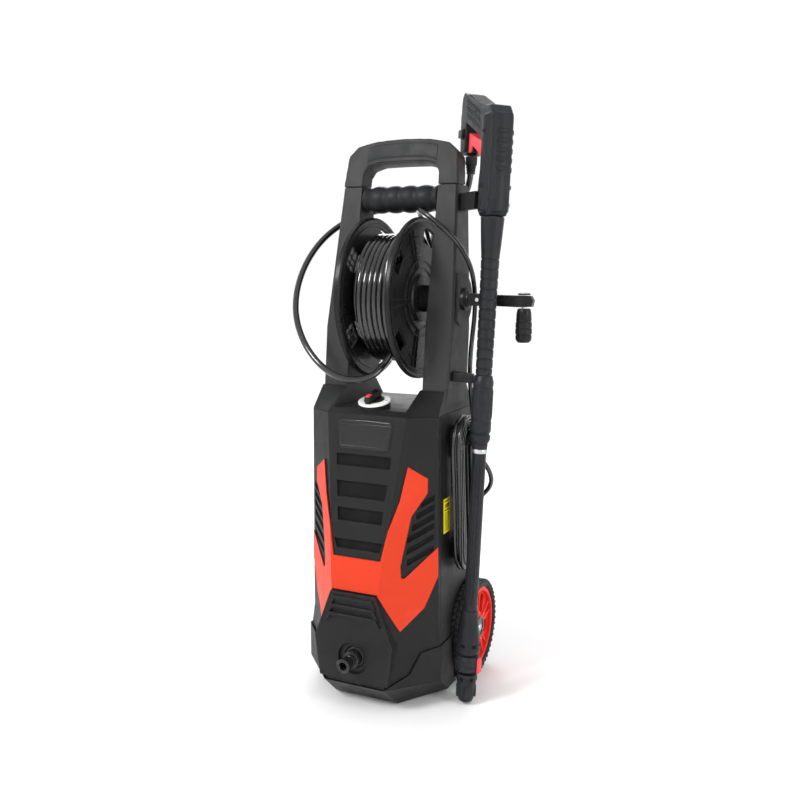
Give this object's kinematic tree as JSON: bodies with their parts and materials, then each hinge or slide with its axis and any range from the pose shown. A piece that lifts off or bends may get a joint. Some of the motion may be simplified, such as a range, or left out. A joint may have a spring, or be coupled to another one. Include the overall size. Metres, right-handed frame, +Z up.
{
  "type": "upright electric pressure washer",
  "caption": "Upright wheeled pressure washer: faceted black casing with a red trim, hose reel with folding crank between two uprights, arch handle, spray gun and lance on the side.",
  "frame": {"origin": "on the floor, in the casing's plane of symmetry, at the middle foot pad", "axes": "+Z up, front (water inlet) towards -Y, lance and crank on +X"},
  "size_m": [0.3853, 0.34, 0.9387],
  "materials": {
    "casing_black": "fine moulded texture",
    "frame_charcoal": "fine moulded texture, slightly worn",
    "trim_red": "satin orange-red plastic",
    "wheel_red": "satin red plastic",
    "tyre_black": "moulded tread",
    "foot_rubber": "matte",
    "hose_black": null,
    "lead_black": "semi-gloss",
    "reel_black": "satin",
    "grip_black": "soft touch",
    "gun_black": "fine texture",
    "trigger_red": "pinkish red satin",
    "dial_white": "satin white",
    "label_yellow": null,
    "plate_black": "glossy blank plate",
    "steel": "turned",
    "cast_aluminium": "cast",
    "brass": "turned"
  },
  "bodies": {
    "root": {"base_tray": "casing_black", "casing_screws": "steel", "cord_gland": "lead_black", "cord_hooks": "casing_black", "dial_ring": "dial_white", "front_cover": "casing_black", "gland_lead": "lead_black", "grip_core": "frame_charcoal", "grip_sleeve": "grip_black", "gun_inlet": "brass", "gun_shell_left": "gun_black", "gun_shell_right": "gun_black", "gun_valve": "brass", "hose_lead": "hose_black", "lance_coupler": "gun_black", "lance_grip": "gun_black", "lance_holders": "casing_black", "lance_tube": "gun_black", "motor_housing": "cast_aluminium", "nameplate": "plate_black", "nozzle_body": "gun_black", "nozzle_tip": "gun_black", "outlet_plate": "casing_black", "power_hank": "lead_black", "power_lead": "lead_black", "power_plug": "lead_black", "pump_block": "cast_aluminium", "pump_pipes": "brass", "pump_plungers": "steel", "rear_shell": "casing_black", "red_trim": "trim_red", "reel_bearings": "reel_black", "rubber_feet": "foot_rubber", "switch_and_capacitor": "casing_black", "top_deck": "casing_black", "top_handle": "frame_charcoal", "upright_left": "frame_charcoal", "upright_right": "frame_charcoal", "warning_label": "label_yellow", "water_inlet": "plate_black", "wheel_axle": "steel"},
    "reel": {"reel_axle": "steel", "drum_core": "reel_black", "flange_left": "reel_black", "flange_right": "reel_black", "hose_coil": "hose_black", "crank_hub": "reel_black"},
    "crank": {"crank_arm": "reel_black", "crank_pins": "steel"},
    "crank_grip": {"crank_knob": "reel_black"},
    "switch": {"switch_knob": "casing_black"},
    "trigger_lever": {"trigger": "trigger_red"},
    "safety_catch": {"safety_lock": "gun_black"},
    "nozzle_sleeve": {"nozzle_collar": "gun_black"},
    "wheel_left_body": {"wheel_left": "wheel_red", "tyre_left": "tyre_black"},
    "wheel_right_body": {"wheel_right": "wheel_red", "tyre_right": "tyre_black"},
    "motor_shaft": {"motor_rotor": "steel", "wobble_plate": "steel"}
  },
  "joints": [
    {"name": "reel_spin", "type": "hinge", "parent": "root", "child": "reel", "pos_m": [0, -0.002, 0.623], "axis": [1, 0, 0], "continuous": true},
    {"name": "crank_fold", "type": "hinge", "parent": "reel", "child": "crank", "pos_m": [0.138, -0.002, 0.623], "axis": [0, 1, 0], "range_deg": [-90, 0]},
    {"name": "crank_grip_spin", "type": "hinge", "parent": "crank", "child": "crank_grip", "pos_m": [0.209, -0.002, 0.585], "axis": [0, 0, 1], "continuous": true},
    {"name": "switch_turn", "type": "hinge", "parent": "root", "child": "switch", "pos_m": [0, -0.081, 0.459], "axis": [0, -0.2079, 0.9781], "range_deg": [0, 90]},
    {"name": "trigger_pull", "type": "hinge", "parent": "root", "child": "trigger_lever", "pos_m": [0.15382, -0.00559, 0.84643], "axis": [0.7731, 0.6323, -0.05], "range_deg": [0, 8], "stiffness_Nm_per_rad": 1.5, "springref_deg": -8.59},
    {"name": "safety_slide", "type": "slide", "parent": "root", "child": "safety_catch", "axis": [0.7731, 0.6323, -0.05], "range_m": [0, 0.003]},
    {"name": "nozzle_twist", "type": "hinge", "parent": "root", "child": "nozzle_sleeve", "pos_m": [0.14791, -0.06013, 0.06591], "axis": [0.029, 0.0435, 0.9986], "range_deg": [0, 90]},
    {"name": "wheel_left_spin", "type": "hinge", "parent": "root", "child": "wheel_left_body", "pos_m": [-0.117, 0.045, 0.08], "axis": [1, 0, 0], "continuous": true},
    {"name": "wheel_right_spin", "type": "hinge", "parent": "root", "child": "wheel_right_body", "pos_m": [0.117, 0.045, 0.08], "axis": [1, 0, 0], "continuous": true},
    {"name": "motor_spin", "type": "hinge", "parent": "root", "child": "motor_shaft", "pos_m": [0, -0.02, 0.27], "axis": [0, 0, 1], "continuous": true}
  ]
}
